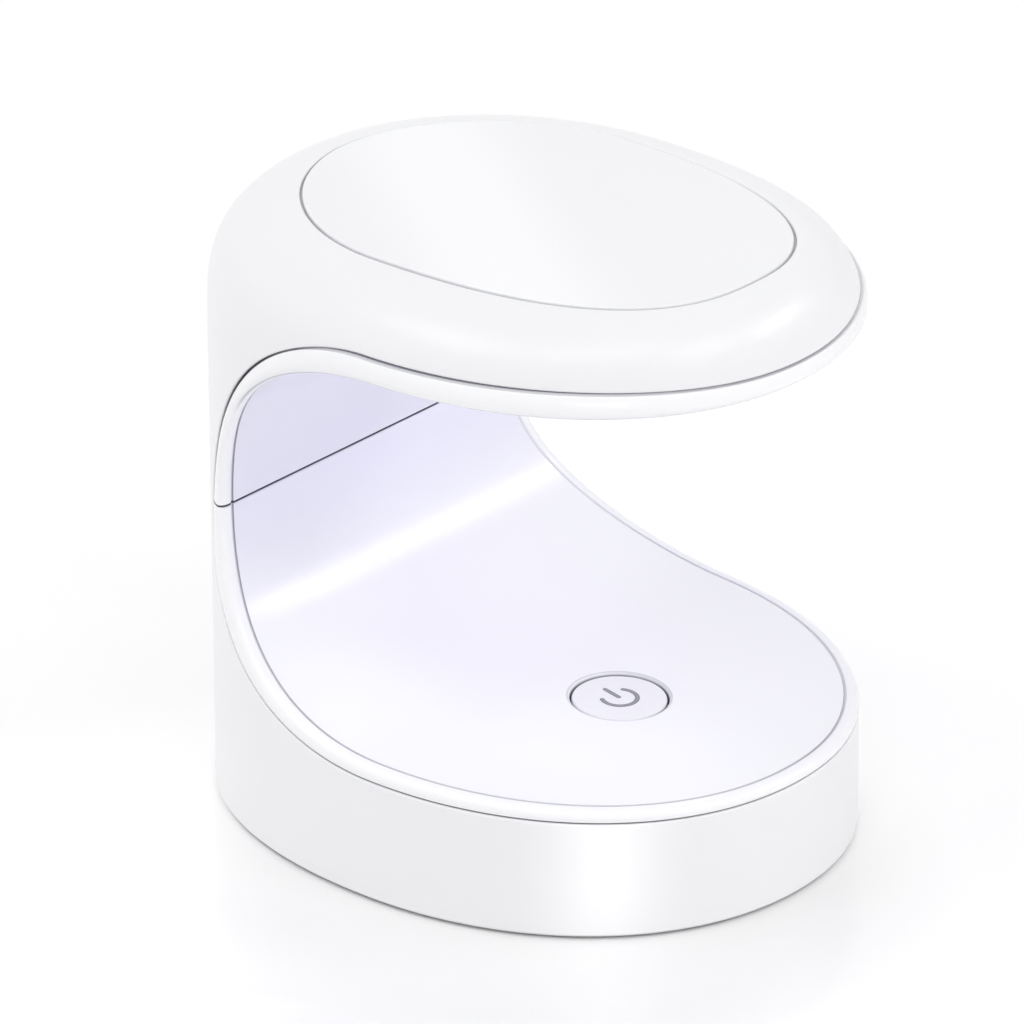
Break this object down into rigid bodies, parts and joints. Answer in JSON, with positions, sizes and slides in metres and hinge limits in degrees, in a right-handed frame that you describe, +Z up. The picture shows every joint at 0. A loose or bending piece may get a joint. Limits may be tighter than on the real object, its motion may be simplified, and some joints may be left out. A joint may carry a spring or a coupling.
{
  "type": "single-finger nail lamp",
  "caption": "Small white C-shaped nail lamp: domed head over an open finger cavity, a flat deck with a round power button, and a hollow base.",
  "frame": {"origin": "on the floor, in the middle of the footprint", "axes": "+Z up; -Y towards the open mouth, where the finger comes in; +Y towards the spine; X across the width"},
  "size_m": [0.06, 0.0715, 0.0679],
  "materials": {
    "shell_white": "satin gloss",
    "liner_white": "satin gloss",
    "base_white": "matte",
    "rubber": "matte",
    "screw_steel": "satin",
    "socket_steel": "satin",
    "board_green": "satin",
    "chip_black": "matte",
    "switch_black": "matte",
    "cell_foil": "satin",
    "foam": "matte",
    "connector_white": "satin",
    "wire_red": "satin",
    "board_aluminium": "satin",
    "led_white": "gloss",
    "window_clear": "clear"
  },
  "bodies": {
    "lamp": {"outer_shell": "shell_white", "top_panel": "shell_white", "upper_liner": "liner_white", "lower_liner": "liner_white", "switch_body": "switch_black", "base_plate": "base_white", "rubber_feet": "rubber", "base_screws": "screw_steel", "main_board": "board_green", "board_chips": "chip_black", "board_screws": "screw_steel", "charging_socket": "socket_steel", "battery_cell": "cell_foil", "battery_tape": "foam", "battery_header": "connector_white", "battery_leads": "wire_red", "led_header": "connector_white", "led_harness": "wire_red", "led_board": "board_aluminium", "uv_leds": "led_white", "led_window": "window_clear", "led_screws": "screw_steel", "top_screws": "screw_steel"},
    "button": {"button_cap": "liner_white", "switch_plunger": "switch_black"}
  },
  "joints": [
    {"name": "button_press", "type": "slide", "parent": "lamp", "child": "button", "axis": [0, 0.0244, -0.9997], "range_m": [0, 0.0004], "stiffness_N_per_m": 1500}
  ]
}
